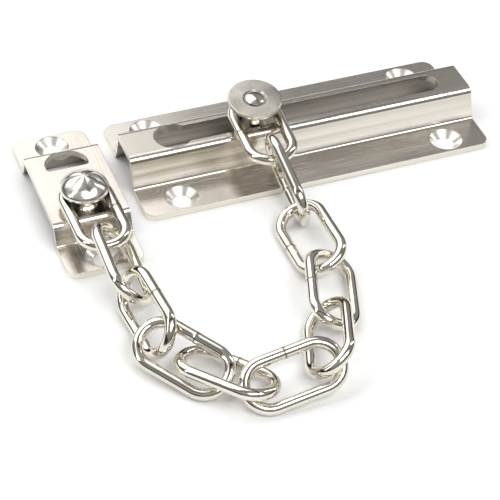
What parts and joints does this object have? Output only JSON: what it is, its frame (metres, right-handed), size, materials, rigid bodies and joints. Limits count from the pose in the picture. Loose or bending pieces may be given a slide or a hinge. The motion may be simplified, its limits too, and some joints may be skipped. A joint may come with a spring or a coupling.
{
  "type": "door chain guard",
  "caption": "Nickel-plated door chain guard: slotted keyhole track, sliding knob, welded chain and a raised bracket with a domed stud.",
  "frame": {"origin": "middle of the track's screw holes, on the door face that the plates rest on", "axes": "+X along the track from its round entry to its closed end, +Y across it away from the chain, +Z out of the door"},
  "size_m": [0.1258, 0.1182, 0.0194],
  "materials": {
    "plate_nickel": "bright nickel over pressed steel, satin tops",
    "chain_nickel": "bright nickel over welded steel wire, mirror smooth",
    "turned_nickel": "bright nickel over turned steel, fine lathe rings"
  },
  "bodies": {
    "track": {"track_plate": "plate_nickel"},
    "knob": {"knob_disc": "turned_nickel", "knob_rivet": "turned_nickel", "knob_base": "plate_nickel"},
    "link_01": {"link_01": "chain_nickel"},
    "link_02": {"link_02": "chain_nickel"},
    "link_03": {"link_03": "chain_nickel"},
    "link_04": {"link_04": "chain_nickel"},
    "link_05": {"link_05": "chain_nickel"},
    "link_06": {"link_06": "chain_nickel"},
    "link_07": {"link_07": "chain_nickel"},
    "link_08": {"link_08": "chain_nickel"},
    "link_09": {"link_09": "chain_nickel"},
    "link_10": {"link_10": "chain_nickel"},
    "link_11": {"link_11": "chain_nickel"},
    "bracket": {"bracket_plate": "plate_nickel", "dome_stud": "turned_nickel"}
  },
  "joints": [
    {"name": "knob_slide", "type": "slide", "parent": "track", "child": "knob", "axis": [1, 0, 0], "range_m": [-0.0229, 0.0505]},
    {"name": "link_01_swing", "type": "hinge", "parent": "knob", "child": "link_01", "pos_m": [-0.0132, -0.0005, 0.0135], "axis": [0, 0, 1], "range_deg": [0, 35]},
    {"name": "link_02_lift", "type": "hinge", "parent": "link_01", "child": "link_02", "pos_m": [-0.01389, -0.0202, 0.01179], "axis": [-0.9987, 0.0373, -0.0348], "range_deg": [0, 20]},
    {"name": "link_03_swing", "type": "hinge", "parent": "link_02", "child": "link_03", "pos_m": [-0.01328, -0.03509, 0.00482], "axis": [0, 0, 1], "range_deg": [0, 30]},
    {"name": "link_04_swing", "type": "hinge", "parent": "link_03", "child": "link_04", "pos_m": [-0.01298, -0.05468, 0.00477], "axis": [0, 0, 1], "range_deg": [0, 12]},
    {"name": "link_05_swing", "type": "hinge", "parent": "link_04", "child": "link_05", "pos_m": [-0.01985, -0.07299, 0.00439], "axis": [0, 0, 1], "range_deg": [0, 8]},
    {"name": "link_06_swing", "type": "hinge", "parent": "link_05", "child": "link_06", "pos_m": [-0.02749, -0.09219, 0.00758], "axis": [0, 0, 1], "range_deg": [-17, 36]},
    {"name": "link_07_swing", "type": "hinge", "parent": "link_06", "child": "link_07", "pos_m": [-0.04585, -0.09144, 0.00421], "axis": [0, 0, 1], "range_deg": [0, 25]},
    {"name": "link_08_swing", "type": "hinge", "parent": "link_07", "child": "link_08", "pos_m": [-0.05534, -0.07967, 0.00384], "axis": [0, 0, 1], "range_deg": [0, 25]},
    {"name": "link_09_swing", "type": "hinge", "parent": "link_08", "child": "link_09", "pos_m": [-0.06454, -0.06924, 0.00683], "axis": [0, 0, 1], "range_deg": [0, 5]},
    {"name": "link_10_swing", "type": "hinge", "parent": "link_09", "child": "link_10", "pos_m": [-0.06404, -0.05069, 0.00679], "axis": [0, 0, 1], "range_deg": [0, 30]},
    {"name": "link_11_swing", "type": "hinge", "parent": "link_10", "child": "link_11", "pos_m": [-0.06419, -0.03241, 0.00887], "axis": [0, 0, 1], "range_deg": [0, 5]},
    {"name": "bracket_swing", "type": "hinge", "parent": "link_11", "child": "bracket", "pos_m": [-0.06553, -0.01559, 0.0074], "axis": [0, 0, 1], "range_deg": [-18, 9]}
  ],
  "couplings": [
    {"joint": "link_06_swing", "follows": "knob_slide", "rad_per_m": 12.2},
    {"joint": "bracket_swing", "follows": "knob_slide", "rad_per_m": -6}
  ]
}
